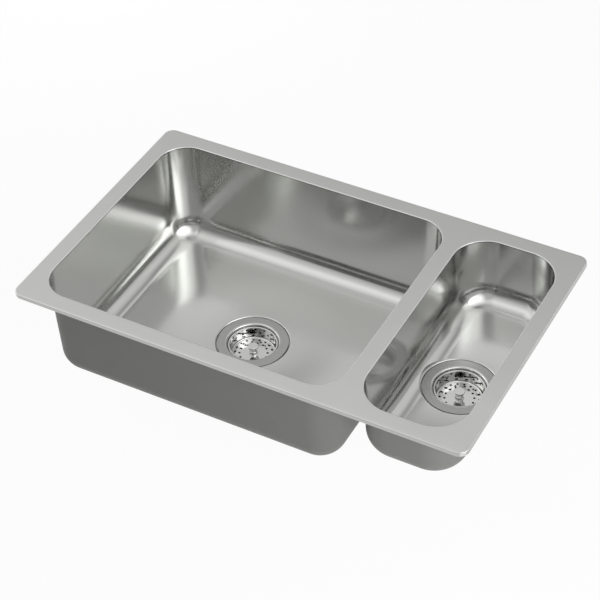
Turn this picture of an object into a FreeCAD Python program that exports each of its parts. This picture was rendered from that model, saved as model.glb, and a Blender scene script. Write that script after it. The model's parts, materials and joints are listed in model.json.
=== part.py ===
import FreeCAD, Part
import os
import re
import Sketcher

# One and a half bowl kitchen sink, let into a worktop from above. Millimetres.
# Origin: middle of the worktop's cut-out, on the worktop's top face.
# X runs to the right along the front edge, Y to the back, Z up.

doc = FreeCAD.newDocument("sink")
sheet = doc.addObject("Spreadsheet::Sheet", "Sizes")

driving_sizes = {
    # Deck: flat sheet with a turned-down edge all round
    "deck_length": 750,
    "deck_width": 460,
    "deck_corner_radius": 16,
    "deck_sheet": 1,
    "rim_height": 7,
    "rim_edge_radius": 2,
    "margin": 28,
    "bridge_width": 28,
    "half_length": 162,
    # Sealing strip under the deck's edge
    "seal_width": 8,
    "seal_fit": 0.2,
    "seal_least_round": 1,
    # Pressed bowls, depths from the deck's top face
    "main_depth": 174.5,
    "half_depth": 115,
    "main_corner_radius": 48,
    "half_corner_radius": 56,
    "bowl_sheet": 1,
    "bowl_draft": 2.3,
    "main_floor_radius": 33,
    "half_floor_radius": 32,
    # Round seat pressed into each bowl's floor for the strainer
    "seat_depth": 6.4,
    "seat_gap": 2,
    "drain_gap": 1.7,
    "seat_reach": 11,
    # Strainer body: flange, throat, floor, cross and threaded spigot
    "flange_radius": 57.5,
    "flange_thickness": 1.2,
    "flange_edge_radius": 0.5,
    "throat_radius": 40.5,
    "throat_lip_radius": 3.5,
    "body_wall": 1.8,
    "body_depth": 34,
    "body_floor": 2,
    "body_floor_radius": 4,
    "spigot_radius": 23.9,
    "spigot_bore": 20.5,
    "spigot_length": 18,
    "cross_width": 5,
    "cross_height": 5,
    "hub_wall": 2.5,
    # Seals and nut that clamp the strainer to the bowl
    "gasket_thickness": 1,
    "gasket_width": 9,
    "gasket_inset": 2,
    "washer_thickness": 3,
    "washer_width": 13,
    "friction_thickness": 1,
    "friction_width": 12,
    "thread_gap": 0.1,
    "nut_wall": 11,
    "nut_height": 10,
    "nut_notch_width": 10,
    "nut_notch_depth": 4,
    "nut_notch_count": 8,
    # Perforated basket, hung below the flange's face
    "basket_drop": 4,
    "basket_gap": 0.8,
    "basket_rim_width": 1.8,
    "basket_sheet": 0.8,
    "basket_taper": 1,
    "basket_floor_radius": 3,
    "basket_least_round": 0.5,
    "hole_radius": 1.7,
    "outer_ring_radius": 30.2,
    "outer_ring_count": 18,
    "inner_ring_radius": 22.7,
    "inner_ring_count": 14,
    "upper_row_drop": 4,
    "lower_row_drop": 10,
    "row_count": 16,
    "row_bore_gap": 1.6,
    # Knob, stem, stopper and spring collet of the basket
    "knob_radius": 8.5,
    "knob_height": 15.4,
    "knob_top_height": 1.6,
    "knob_cone_height": 6.5,
    "knob_neck_radius": 5.5,
    "knob_flare_radius": 6.2,
    "knob_flare_height": 4,
    "knob_foot_radius": 7,
    "knob_foot_height": 1.2,
    "knob_edge_radius": 0.6,
    "knob_socket_depth": 8,
    "stem_radius": 3,
    "stem_gap": 0.05,
    "shoulder_radius": 5,
    "stopper_radius": 27,
    "stopper_height": 6,
    "stopper_room": 2.6,
    "stopper_slope": 3,
    "stopper_crown_radius": 14,
    "stopper_gap": 0.1,
    "collet_wall": 3,
    "collet_length": 9,
    "collet_gap": 0.2,
    "collet_slot": 1.4,
    "collet_slot_count": 4,
    "collet_collar": 2,
    "stem_tail": 1.5,
    # Swing clips on studs welded under the deck
    "worktop_limit": 30,
    "clip_inset": 6,
    "clip_width": 8,
    "clip_thickness": 2,
    "clip_tooth": 4,
    "clip_reach": 26,
    "clip_heel": 4.4,
    "clip_heel_radius": 2.5,
    "clip_gap": 0.08,
    "stud_radius": 2.5,
    "stud_foot_radius": 3.4,
    "stud_foot_height": 1.2,
    "stud_end": 1,
    "stud_fit": 0.05,
    "clip_washer_radius": 4.4,
    "clip_washer_thickness": 1,
    "clip_nut_radius": 4.6,
    "clip_nut_height": 4,
    "back_clip_share": 3,
    "side_clip_share": 4,
}

derived_sizes = {
    "opening_width": "deck_width - 2 * margin",
    "main_length": "deck_length - 2 * margin - bridge_width - half_length",
    "main_x": "margin + main_length / 2 - deck_length / 2",
    "half_x": "deck_length / 2 - margin - half_length / 2",
    "deck_under": "rim_height - deck_sheet",
    "seat_radius": "flange_radius + seat_gap",
    "body_radius": "throat_radius + body_wall",
    "drain_radius": "body_radius + drain_gap",
    "flange_rise": "gasket_thickness + flange_thickness - seat_depth",
    "main_ring": "rim_height - main_depth + flange_rise",
    "half_ring": "rim_height - half_depth + flange_rise",
    "basket_rim": "throat_radius - basket_gap",
    "basket_top": "basket_rim - basket_rim_width",
    "basket_foot": "basket_top - basket_taper",
    "stem_bore": "stem_radius + stem_gap",
    "stopper_under": "body_depth - stopper_gap",
    "stopper_top": "stopper_under - stopper_height",
    "basket_under": "stopper_top - stopper_room",
    "basket_floor": "basket_under - basket_sheet",
    "collet_radius": "stem_radius + collet_wall",
    "hub_bore": "collet_radius + collet_gap",
    "hub_radius": "hub_bore + hub_wall",
    "cross_top": "body_depth + body_floor",
    "washer_top": "flange_thickness + gasket_thickness + bowl_sheet",
    "nut_top": "washer_top + washer_thickness + friction_thickness",
    "nut_bore": "body_radius + thread_gap",
    "gasket_bore": "drain_radius + gasket_inset",
    "row_start": "basket_foot - basket_sheet - row_bore_gap",
    "clip_back_y": "deck_width / 2 - margin + clip_inset",
    "clip_side_x": "deck_length / 2 - margin + clip_inset",
    "back_clip_spread": "main_length / back_clip_share",
    "side_clip_spread": "opening_width / side_clip_share",
    "clip_under": "0 - worktop_limit - clip_tooth - clip_thickness",
    "clip_washer_under": "clip_under - clip_gap - clip_washer_thickness",
    "clip_nut_under": "clip_washer_under - clip_nut_height",
    "stud_length": "deck_under - clip_nut_under + stud_end",
}

aliases = list(driving_sizes) + list(derived_sizes)
tolerance = 1e-4


def formula(text):
    # Words that name a size become references to its cell.
    def reference(word):
        return "Sizes." + word.group() if word.group() in aliases else word.group()
    return re.sub(r"[a-z_]+", reference, text)


def value(text):
    return float(sheet.evalExpression(formula(text)))


def write_sheet():
    for row, alias in enumerate(aliases, start=1):
        cell = "B%d" % row
        sheet.set("A%d" % row, alias.replace("_", " "))
        if alias in driving_sizes:
            sheet.set(cell, str(driving_sizes[alias]))
        else:
            sheet.set(cell, "=" + derived_sizes[alias])
        sheet.setAlias(cell, alias)
    doc.recompute()


def new_body(name, x="0", y="0", z="0"):
    body = doc.addObject("PartDesign::Body", name)
    body.Label = name
    for letter, text in zip("xyz", (x, y, z)):
        body.setExpression("Placement.Base." + letter, formula(text))
    return body


def origin_feature(body, role):
    return next(feature for feature in body.Origin.OriginFeatures if feature.Role == role)


def new_sketch(body, name, role, lift="0"):
    sketch = body.newObject("Sketcher::SketchObject", name)
    sketch.AttachmentSupport = [(origin_feature(body, role), "")]
    sketch.MapMode = "FlatFace"
    sketch.setExpression("AttachmentOffset.Base.z", formula(lift))
    return sketch


def hold(sketch, kind, item, point, text):
    # One distance from the sketch's origin, bound to the sheet.
    index = sketch.addConstraint(Sketcher.Constraint(kind, -1, 1, item, point, value(text)))
    sketch.setExpression("Constraints[%d]" % index, formula(text))


def add_outline(sketch, corners):
    points = [FreeCAD.Vector(value(x), value(y), 0) for x, y in corners]
    first = sketch.GeometryCount
    count = len(points)
    for index in range(count):
        sketch.addGeometry(Part.LineSegment(points[index], points[(index + 1) % count]), False)
    for index, (x, y) in enumerate(corners):
        before = first + (index - 1) % count
        sketch.addConstraint(Sketcher.Constraint("Coincident", before, 2, first + index, 1))
        hold(sketch, "DistanceX", first + index, 1, x)
        hold(sketch, "DistanceY", first + index, 1, y)


def add_rectangle(sketch, x_low, y_low, x_high, y_high):
    add_outline(sketch, [(x_low, y_low), (x_high, y_low), (x_high, y_high), (x_low, y_high)])


def add_centred_rectangle(sketch, length, width, x="0"):
    low = "%s - (%s) / 2" % (x, length)
    high = "%s + (%s) / 2" % (x, length)
    add_rectangle(sketch, low, "0 - (%s) / 2" % width, high, "(%s) / 2" % width)


def add_circle(sketch, radius, x="0", y="0"):
    centre = FreeCAD.Vector(value(x), value(y), 0)
    item = sketch.addGeometry(Part.Circle(centre, FreeCAD.Vector(0, 0, 1), value(radius)), False)
    hold(sketch, "DistanceX", item, 3, x)
    hold(sketch, "DistanceY", item, 3, y)
    index = sketch.addConstraint(Sketcher.Constraint("Radius", item, value(radius)))
    sketch.setExpression("Constraints[%d]" % index, formula(radius))


def add_pad(body, sketch, name, length, down=False):
    pad = body.newObject("PartDesign::Pad", name)
    pad.Profile = sketch
    pad.Reversed = down
    pad.setExpression("Length", formula(length))
    doc.recompute()
    return pad


def add_pocket(body, sketch, name, depth=None, up=False):
    # A pocket without a depth goes right through on its own side of the sketch.
    before = body.Shape.Volume
    pocket = body.newObject("PartDesign::Pocket", name)
    pocket.Profile = sketch
    pocket.Reversed = up
    if depth is None:
        pocket.Type = "ThroughAll"
    else:
        pocket.setExpression("Length", formula(depth))
    doc.recompute()
    if pocket.Shape.Volume >= before:
        raise RuntimeError(name + " cuts nothing")
    return pocket


def add_revolution(body, sketch, name):
    revolution = body.newObject("PartDesign::Revolution", name)
    revolution.Profile = sketch
    revolution.ReferenceAxis = (sketch, ["V_Axis"])
    revolution.Angle = 360
    doc.recompute()
    return revolution


def add_pattern(body, feature, name, count):
    pattern = body.newObject("PartDesign::PolarPattern", name)
    pattern.Originals = [feature]
    pattern.Axis = (origin_feature(body, "Z_Axis"), [""])
    pattern.Angle = 360
    pattern.setExpression("Occurrences", formula(count))
    body.Tip = pattern
    doc.recompute()
    return pattern


def upright(edge):
    return abs(edge.BoundBox.ZLength - edge.Length) < tolerance


def level(edge, height):
    box = edge.BoundBox
    return abs(box.ZMin - height) < tolerance and abs(box.ZMax - height) < tolerance


def round_edge(edge, radius, height):
    if not isinstance(edge.Curve, Part.Circle):
        return False
    return level(edge, height) and abs(edge.Curve.Radius - radius) < tolerance


def chosen(kind, items, test):
    return ["%s%d" % (kind, n) for n, item in enumerate(items, start=1) if test(item)]


def add_fillet(body, name, test, radius):
    base = body.Tip
    fillet = body.newObject("PartDesign::Fillet", name)
    fillet.Base = (base, chosen("Edge", base.Shape.Edges, test))
    fillet.setExpression("Radius", formula(radius))
    doc.recompute()
    return fillet


def add_round_fillet(body, name, edge_radius, height, radius):
    # Fillet on the level round edge with this radius at this height.
    wanted_radius = value(edge_radius)
    wanted_height = value(height)
    return add_fillet(body, name, lambda edge: round_edge(edge, wanted_radius, wanted_height), radius)


def add_shell(body, name, open_face, thickness):
    # Hollows the body, leaving a wall inside its outer faces and the chosen face open.
    base = body.Tip
    outside = base.Shape.BoundBox
    shell = body.newObject("PartDesign::Thickness", name)
    shell.Base = (base, chosen("Face", base.Shape.Faces, open_face))
    shell.Reversed = True
    shell.setExpression("Value", formula(thickness))
    doc.recompute()
    if shell.Shape.optimalBoundingBox().DiagonalLength > outside.DiagonalLength + tolerance:
        raise RuntimeError(name + " grows outwards")
    return shell


def ring(name, inner, outer, thickness, x, z):
    body = new_body(name, x, "0", z)
    sketch = new_sketch(body, name + "_outline", "XY_Plane")
    add_circle(sketch, outer)
    add_circle(sketch, inner)
    add_pad(body, sketch, name + "_pad", thickness, down=True)
    return body


def turned(name, profile, x, z):
    # Body of revolution from (radius, depth) pairs, depths counted down from its level.
    body = new_body(name, x, "0", z)
    sketch = new_sketch(body, name + "_profile", "XZ_Plane")
    add_outline(sketch, [(radius, "0 - (%s)" % depth) for radius, depth in profile])
    add_revolution(body, sketch, name + "_turn")
    return body


def deck_plate():
    body = new_body("deck_plate")
    sketch = new_sketch(body, "deck_outline", "XY_Plane")
    add_centred_rectangle(sketch, "deck_length", "deck_width")
    add_pad(body, sketch, "deck_block", "rim_height")
    add_fillet(body, "deck_corners", upright, "deck_corner_radius")
    top = value("rim_height")
    add_fillet(body, "deck_edge", lambda edge: level(edge, top), "rim_edge_radius")
    add_shell(body, "deck_shell", lambda face: face.BoundBox.ZMax < tolerance, "deck_sheet")
    for side in ("main", "half"):
        cut = new_sketch(body, side + "_opening", "XY_Plane", "rim_height")
        add_centred_rectangle(cut, side + "_length", "opening_width", side + "_x")
        add_pocket(body, cut, side + "_cut", "2 * deck_sheet")
        edge_x = [value("%s_x %s %s_length / 2" % (side, sign, side)) for sign in "+-"]

        def opening_corner(edge):
            middle = edge.BoundBox.Center
            return upright(edge) and min(abs(middle.x - x) for x in edge_x) < tolerance
        add_fillet(body, side + "_opening_corners", opening_corner, side + "_corner_radius")
    return body


def rim_seal():
    body = new_body("rim_seal")
    sketch = new_sketch(body, "seal_outline", "XY_Plane")
    inset = "2 * (rim_edge_radius + seal_fit)"
    add_centred_rectangle(sketch, "deck_length - " + inset, "deck_width - " + inset)
    add_pad(body, sketch, "seal_block", "deck_under")
    corner = "deck_corner_radius - rim_edge_radius - seal_fit"
    add_fillet(body, "seal_corners", upright, corner)
    cut = new_sketch(body, "seal_inside", "XY_Plane")
    inside = inset + " - 2 * seal_width"
    add_centred_rectangle(cut, "deck_length - " + inside, "deck_width - " + inside)
    add_pocket(body, cut, "seal_cut", up=True)
    half_inside = value("(deck_width - %s) / 2" % inside)

    def inside_corner(edge):
        return upright(edge) and abs(abs(edge.BoundBox.Center.y) - half_inside) < tolerance
    add_fillet(body, "seal_inside_corners", inside_corner, "max(seal_least_round; %s - seal_width)" % corner)
    return body


def bowl(side):
    # Level 0 of this body is the bowl's top edge, against the deck's underside.
    name = side + "_bowl"
    drop = "%s_depth - deck_sheet + bowl_sheet" % side
    body = new_body(name, side + "_x", "0", "deck_under")
    sketch = new_sketch(body, name + "_outline", "XY_Plane")
    add_centred_rectangle(sketch, side + "_length + 2 * bowl_sheet", "opening_width + 2 * bowl_sheet")
    add_pad(body, sketch, name + "_block", drop, down=True)
    add_fillet(body, name + "_corners", upright, "%s_corner_radius + bowl_sheet" % side)

    base = body.Tip
    draft = body.newObject("PartDesign::Draft", name + "_draft")
    draft.Base = (base, chosen("Face", base.Shape.Faces, lambda face: face.BoundBox.ZLength > tolerance))
    draft.NeutralPlane = (origin_feature(body, "XY_Plane"), [""])
    draft.Reversed = True
    draft.setExpression("Angle", formula("bowl_draft"))
    doc.recompute()

    lowest = 0 - value(drop)
    corner_below = "%s_corner_radius - (%s) * tan(bowl_draft * 1 deg)" % (side, drop)
    floor_radius = "min(%s_floor_radius; %s) + bowl_sheet" % (side, corner_below)
    add_fillet(body, name + "_floor_round", lambda edge: level(edge, lowest), floor_radius)

    # The seat stands below the floor and reaches up into the rounding beside a narrow bowl's walls.
    seat = new_sketch(body, name + "_seat", "XY_Plane", "0 - (%s) - seat_depth" % drop)
    add_circle(seat, "seat_radius + bowl_sheet")
    add_pad(body, seat, name + "_seat_pad", "seat_depth + seat_reach")
    add_shell(body, name + "_shell", lambda face: face.BoundBox.ZMin > -tolerance, "bowl_sheet")
    drain = new_sketch(body, name + "_drain", "XY_Plane", "0 - (%s)" % drop)
    add_circle(drain, "drain_radius")
    add_pocket(body, drain, name + "_drain_cut", "seat_depth + bowl_sheet")
    return body


def strainer_body(side):
    name = side + "_strainer_body"
    body = turned(name, [
        ("flange_radius", "0"),
        ("flange_radius", "flange_thickness"),
        ("body_radius", "flange_thickness"),
        ("body_radius", "cross_top"),
        ("spigot_radius", "cross_top"),
        ("spigot_radius", "cross_top + spigot_length"),
        ("spigot_bore", "cross_top + spigot_length"),
        ("spigot_bore", "body_depth"),
        ("throat_radius", "body_depth"),
        ("throat_radius", "0"),
    ], side + "_x", side + "_ring")
    add_round_fillet(body, name + "_lip", "throat_radius", "0", "throat_lip_radius")
    add_round_fillet(body, name + "_rim", "flange_radius", "0", "flange_edge_radius")
    add_round_fillet(body, name + "_floor_round", "throat_radius", "0 - body_depth", "body_floor_radius")
    under = "body_floor_radius + min(body_wall; body_floor)"
    add_round_fillet(body, name + "_under_round", "body_radius", "0 - cross_top", under)

    # Cross in the outlet, with a bored hub that takes the basket's spring collet
    span = "spigot_bore + spigot_radius"
    for arm, (length, width) in {"arm": (span, "cross_width"), "beam": ("cross_width", span)}.items():
        sketch = new_sketch(body, "%s_%s" % (name, arm), "XY_Plane", "0 - cross_top")
        add_centred_rectangle(sketch, length, width)
        add_pad(body, sketch, "%s_%s_pad" % (name, arm), "cross_height", down=True)
    hub = new_sketch(body, name + "_hub", "XY_Plane", "0 - cross_top")
    add_circle(hub, "hub_radius")
    add_pad(body, hub, name + "_hub_pad", "cross_height", down=True)
    bore = new_sketch(body, name + "_hub_bore", "XY_Plane", "0 - cross_top")
    add_circle(bore, "hub_bore")
    add_pocket(body, bore, name + "_hub_cut", "cross_height")
    return body


def seals(side):
    # Flange gasket above the bowl's floor, rubber washer and friction ring below it
    x = side + "_x"
    top = side + "_ring"
    gasket = ring(side + "_flange_gasket", "gasket_bore", "gasket_bore + gasket_width",
                  "gasket_thickness", x, top + " - flange_thickness")
    washer = ring(side + "_rubber_washer", "nut_bore", "nut_bore + washer_width",
                  "washer_thickness", x, top + " - washer_top")
    friction = ring(side + "_friction_ring", "nut_bore", "nut_bore + friction_width",
                    "friction_thickness", x, top + " - washer_top - washer_thickness")
    return [gasket, washer, friction]


def locknut(side):
    name = side + "_locknut"
    outer = "nut_bore + nut_wall"
    body = ring(name, "nut_bore", outer, "nut_height", side + "_x", side + "_ring - nut_top")
    notch = new_sketch(body, name + "_notch", "XY_Plane")
    add_rectangle(notch, outer + " - nut_notch_depth", "0 - nut_notch_width / 2",
                  outer + " + nut_notch_depth", "nut_notch_width / 2")
    cut = add_pocket(body, notch, name + "_notch_cut", "nut_height")
    add_pattern(body, cut, name + "_notches", "nut_notch_count")
    return body


def basket(side):
    name = side + "_basket"
    body = turned(name, [
        ("stem_bore", "basket_under"),
        ("basket_foot", "basket_under"),
        ("basket_top", "basket_drop + basket_sheet"),
        ("basket_rim", "basket_drop + basket_sheet"),
        ("basket_rim", "basket_drop"),
        ("basket_top - basket_sheet", "basket_drop"),
        ("basket_foot - basket_sheet", "basket_floor"),
        ("stem_bore", "basket_floor"),
    ], side + "_x", side + "_ring")
    add_round_fillet(body, name + "_under_round", "basket_foot", "0 - basket_under",
                     "basket_floor_radius")
    add_round_fillet(body, name + "_floor_round", "basket_foot - basket_sheet", "0 - basket_floor",
                     "max(basket_least_round; basket_floor_radius - basket_sheet)")

    for ring_name in ("outer_ring", "inner_ring"):
        sketch = new_sketch(body, "%s_%s" % (name, ring_name), "XY_Plane", "0 - basket_floor")
        add_circle(sketch, "hole_radius", ring_name + "_radius")
        hole = add_pocket(body, sketch, "%s_%s_hole" % (name, ring_name), "2 * basket_sheet")
        add_pattern(body, hole, "%s_%s_holes" % (name, ring_name), ring_name + "_count")

    # Two staggered rows of holes in the wall, bored outwards from just inside it
    row_turn = FreeCAD.Rotation(FreeCAD.Vector(0, 1, 0), 1)
    row_depth = "basket_taper + basket_sheet + 2 * row_bore_gap"
    for row_name, turn in {"upper_row": "0", "lower_row": "180 / row_count"}.items():
        sketch = new_sketch(body, "%s_%s" % (name, row_name), "YZ_Plane")
        sketch.AttachmentOffset = FreeCAD.Placement(FreeCAD.Vector(), row_turn)
        sketch.setExpression("AttachmentOffset.Base.x", formula("row_start * sin(%s * 1 deg)" % turn))
        sketch.setExpression("AttachmentOffset.Base.z", formula("row_start * cos(%s * 1 deg)" % turn))
        sketch.setExpression("AttachmentOffset.Rotation.Angle", formula(turn))
        add_circle(sketch, "hole_radius", "0", "0 - basket_drop - %s_drop" % row_name)
        hole = add_pocket(body, sketch, "%s_%s_hole" % (name, row_name), row_depth, up=True)
        add_pattern(body, hole, "%s_%s_holes" % (name, row_name), "row_count")
    return body


def knob(side):
    # Turned knob, screwed down on the basket's floor over the stem
    name = side + "_knob"
    top = "basket_floor - knob_height"
    body = turned(name, [
        ("stem_bore", "basket_floor"),
        ("knob_foot_radius", "basket_floor"),
        ("knob_foot_radius", "basket_floor - knob_foot_height"),
        ("knob_flare_radius", "basket_floor - knob_foot_height"),
        ("knob_neck_radius", "basket_floor - knob_flare_height"),
        ("knob_neck_radius", top + " + knob_top_height + knob_cone_height"),
        ("knob_radius", top + " + knob_top_height"),
        ("knob_radius", top),
        ("0", top),
        ("0", "basket_floor - knob_socket_depth"),
        ("stem_bore", "basket_floor - knob_socket_depth"),
    ], side + "_x", side + "_ring")
    add_round_fillet(body, name + "_edge", "knob_radius", "0 - (%s)" % top, "knob_edge_radius")
    return body


def basket_stem(side):
    end = "stopper_under + collet_length + stem_tail"
    return turned(side + "_basket_stem", [
        ("0", "basket_floor - knob_socket_depth + stem_gap"),
        ("stem_radius", "basket_floor - knob_socket_depth + stem_gap"),
        ("stem_radius", "basket_under"),
        ("shoulder_radius", "basket_under"),
        ("shoulder_radius", "stopper_top"),
        ("stem_radius", "stopper_top"),
        ("stem_radius", end),
        ("0", end),
    ], side + "_x", side + "_ring")


def stopper(side):
    # Rubber disc that closes the outlet, lying on the strainer body's floor
    return turned(side + "_stopper", [
        ("stem_bore", "stopper_under"),
        ("stopper_radius", "stopper_under"),
        ("stopper_radius", "stopper_top + stopper_slope"),
        ("stopper_crown_radius", "stopper_top"),
        ("stem_bore", "stopper_top"),
    ], side + "_x", side + "_ring")


def stem_collet(side):
    # Slotted spring collet on the stem's end, which grips the bored hub
    name = side + "_stem_collet"
    body = ring(name, "stem_bore", "collet_radius", "collet_length",
                side + "_x", side + "_ring - stopper_under")
    slot = new_sketch(body, name + "_slot", "XY_Plane", "0 - collet_length")
    add_rectangle(slot, "0", "0 - collet_slot / 2", "collet_radius + collet_wall", "collet_slot / 2")
    cut = add_pocket(body, slot, name + "_slot_cut", "collet_length - collet_collar", up=True)
    add_pattern(body, cut, name + "_slots", "collet_slot_count")
    return body


# Where the swing clips stand: name, place across, place back, and the bar's direction at rest.
clip_places = [
    ("back_left", "main_x - back_clip_spread", "clip_back_y", 0),
    ("back_middle", "main_x + back_clip_spread", "clip_back_y", 0),
    ("back_right", "half_x", "clip_back_y", 0),
    ("left_rear", "0 - clip_side_x", "side_clip_spread", 90),
    ("left_front", "0 - clip_side_x", "0 - side_clip_spread", 90),
    ("right_rear", "clip_side_x", "side_clip_spread", -90),
    ("right_front", "clip_side_x", "0 - side_clip_spread", -90),
]


def swing_clip(place, x, y, angle):
    # Bar with a turned-up tooth: it lies along the deck's edge and swings out under the worktop.
    name = "clip_" + place
    body = new_body(name, x, y, "clip_under")
    turn = FreeCAD.Rotation(FreeCAD.Vector(0, 0, 1), angle)
    body.Placement = FreeCAD.Placement(body.Placement.Base, turn)
    bar = new_sketch(body, name + "_bar", "XY_Plane")
    add_rectangle(bar, "0 - clip_heel", "0 - clip_width / 2", "clip_reach", "clip_width / 2")
    add_pad(body, bar, name + "_bar_pad", "clip_thickness")
    heel = value("0 - clip_heel")

    def heel_edge(edge):
        return upright(edge) and abs(edge.BoundBox.XMax - heel) < tolerance
    add_fillet(body, name + "_heel", heel_edge, "clip_heel_radius")
    tooth = new_sketch(body, name + "_tooth", "XY_Plane", "clip_thickness")
    add_rectangle(tooth, "clip_reach - clip_thickness", "0 - clip_width / 2",
                  "clip_reach", "clip_width / 2")
    add_pad(body, tooth, name + "_tooth_pad", "clip_tooth")
    bore = new_sketch(body, name + "_bore", "XY_Plane", "clip_thickness")
    add_circle(bore, "stud_radius + clip_gap")
    add_pocket(body, bore, name + "_bore_cut", "clip_thickness")
    return body


def add_primitive(kind, name, x, y, z, sizes):
    item = doc.addObject(kind, name)
    for letter, text in zip("xyz", (x, y, z)):
        item.setExpression("Placement.Base." + letter, formula(text))
    for field, text in sizes.items():
        item.setExpression(field, formula(text))
    return item


def joined(kind, name, base, tool):
    item = doc.addObject(kind, name)
    item.Base = base
    item.Tool = tool
    return item


def group(name, pieces):
    compound = doc.addObject("Part::Compound", name)
    compound.Label = name
    compound.Links = pieces
    return compound


def clip_stud(place, x, y):
    foot = add_primitive("Part::Cylinder", "stud_foot_" + place, x, y, "deck_under - stud_foot_height",
                         {"Radius": "stud_foot_radius", "Height": "stud_foot_height"})
    shank = add_primitive("Part::Cylinder", "stud_shank_" + place, x, y, "deck_under - stud_length",
                          {"Radius": "stud_radius", "Height": "stud_length"})
    return joined("Part::Fuse", "stud_" + place, foot, shank)


def bored(place, name, kind, x, y, z, height, outer):
    blank = add_primitive(kind, "%s_blank_%s" % (name, place), x, y, z, {**outer, "Height": height})
    hole = add_primitive("Part::Cylinder", "%s_hole_%s" % (name, place), x, y, z,
                         {"Radius": "stud_radius + stud_fit", "Height": height})
    return joined("Part::Cut", "%s_%s" % (name, place), blank, hole)


def clip_hardware():
    studs = []
    washers = []
    nuts = []
    for place, x, y, _ in clip_places:
        studs.append(clip_stud(place, x, y))
        washers.append(bored(place, "clip_washer", "Part::Cylinder", x, y, "clip_washer_under",
                             "clip_washer_thickness", {"Radius": "clip_washer_radius"}))
        nuts.append(bored(place, "clip_nut", "Part::Prism", x, y, "clip_nut_under",
                          "clip_nut_height", {"Circumradius": "clip_nut_radius"}))
    return [group("clip_studs", studs), group("clip_washers", washers), group("clip_nuts", nuts)]


def build():
    nodes = [deck_plate(), rim_seal()]
    for side in ("main", "half"):
        nodes.append(bowl(side))
        nodes.append(strainer_body(side))
        nodes.extend(seals(side))
        nodes.append(locknut(side))
        nodes.append(basket(side))
        nodes.append(knob(side))
        nodes.append(basket_stem(side))
        nodes.append(stopper(side))
        nodes.append(stem_collet(side))
    nodes.extend(swing_clip(*place) for place in clip_places)
    nodes.extend(clip_hardware())
    doc.recompute()
    return nodes


def check(nodes):
    for item in doc.Objects:
        if "Invalid" in item.State or "Error" in item.State:
            raise RuntimeError("%s failed: %s" % (item.Label, item.State))
    for node in nodes:
        if node.Shape.isNull() or not node.Shape.isValid():
            raise RuntimeError(node.Label + " has no sound shape")


write_sheet()
sub_parts = build()
check(sub_parts)
os.makedirs("parts", exist_ok=True)
for sub_part in sub_parts:
    sub_part.Shape.exportStep("parts/%s.step" % sub_part.Label)
    print(sub_part.Label, len(sub_part.Shape.Solids), round(sub_part.Shape.Volume, 1))
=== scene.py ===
import json
import math
import bmesh
import bpy
from mathutils import Matrix, Vector


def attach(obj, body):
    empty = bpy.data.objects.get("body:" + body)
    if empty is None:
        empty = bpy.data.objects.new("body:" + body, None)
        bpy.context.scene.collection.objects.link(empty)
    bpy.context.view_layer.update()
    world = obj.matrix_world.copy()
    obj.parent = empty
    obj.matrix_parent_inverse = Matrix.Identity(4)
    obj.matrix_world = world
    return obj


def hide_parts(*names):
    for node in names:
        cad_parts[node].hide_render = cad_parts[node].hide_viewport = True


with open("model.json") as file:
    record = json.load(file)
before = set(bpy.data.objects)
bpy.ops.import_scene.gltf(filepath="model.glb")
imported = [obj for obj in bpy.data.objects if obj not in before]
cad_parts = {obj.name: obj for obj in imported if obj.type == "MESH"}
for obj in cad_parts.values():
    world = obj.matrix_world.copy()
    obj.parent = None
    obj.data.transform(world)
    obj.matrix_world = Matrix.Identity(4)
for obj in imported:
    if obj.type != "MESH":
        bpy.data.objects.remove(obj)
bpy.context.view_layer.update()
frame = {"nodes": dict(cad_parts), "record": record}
near = 1e-5  # metres within which points count as the same


# Small tools for working in edit mode

def pickNothing():
    if bpy.context.mode != "OBJECT":
        bpy.ops.object.mode_set(mode="OBJECT")
    bpy.ops.object.select_all(action="DESELECT")


def pickOnly(piece):
    pickNothing()
    piece.select_set(True)
    bpy.context.view_layer.objects.active = piece


def choose(kind, test):
    # selects verts, edges or faces of the piece in edit mode by their place or normal
    modes = {"verts": "VERT", "edges": "EDGE", "faces": "FACE"}
    bpy.ops.mesh.select_mode(type=modes[kind])
    bpy.ops.mesh.select_all(action="DESELECT")
    shape = bmesh.from_edit_mesh(bpy.context.edit_object.data)
    for item in [item for item in getattr(shape, kind) if test(item)]:
        item.select_set(True)
    shape.select_flush_mode()
    bmesh.update_edit_mesh(bpy.context.edit_object.data)


def atHeight(item, z):
    return all(abs(v.co.z - z) < near for v in item.verts)


def facesUp(face, z):
    return abs(face.normal.z) > 0.99 and abs(face.calc_center_median().z - z) < near


def startPlane(name):
    pickNothing()
    bpy.ops.mesh.primitive_plane_add(size=1, location=(0, 0, 0))
    piece = bpy.context.object
    piece.name = name
    bpy.ops.object.mode_set(mode="EDIT")
    return piece


def startPlate(name, length, width, corner, steps, at):
    # flat plate with rounded corners, left in edit mode
    piece = startPlane(name)
    shapePlate(length, width, corner, steps, at)
    return piece


def shapePlate(length, width, corner, steps, at):
    bpy.ops.transform.resize(value=(length, width, 1), center_override=(0, 0, 0))
    bpy.ops.mesh.bevel(offset=corner, segments=steps, affect="VERTICES", clamp_overlap=False)
    bpy.ops.transform.translate(value=at)


def sharp(edge):
    return edge.is_manifold and edge.calc_face_angle() > 1


def extrudeUp(height):
    bpy.ops.mesh.extrude_region_move(TRANSFORM_OT_translate={"value": (0, 0, height)})


def tidyNormals():
    bpy.ops.mesh.select_all(action="SELECT")
    bpy.ops.mesh.remove_doubles(threshold=near)
    bpy.ops.mesh.normals_make_consistent(inside=False)


def applyModifier(piece, kind, **settings):
    pickOnly(piece)
    modifier = piece.modifiers.new(kind.lower(), kind)
    for key, setting in settings.items():
        setattr(modifier, key, setting)
    bpy.ops.object.modifier_apply(modifier=modifier.name)


def combine(piece, tool, operation):
    applyModifier(piece, "BOOLEAN", object=tool, operation=operation, solver="EXACT")
    bpy.data.objects.remove(tool)


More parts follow.
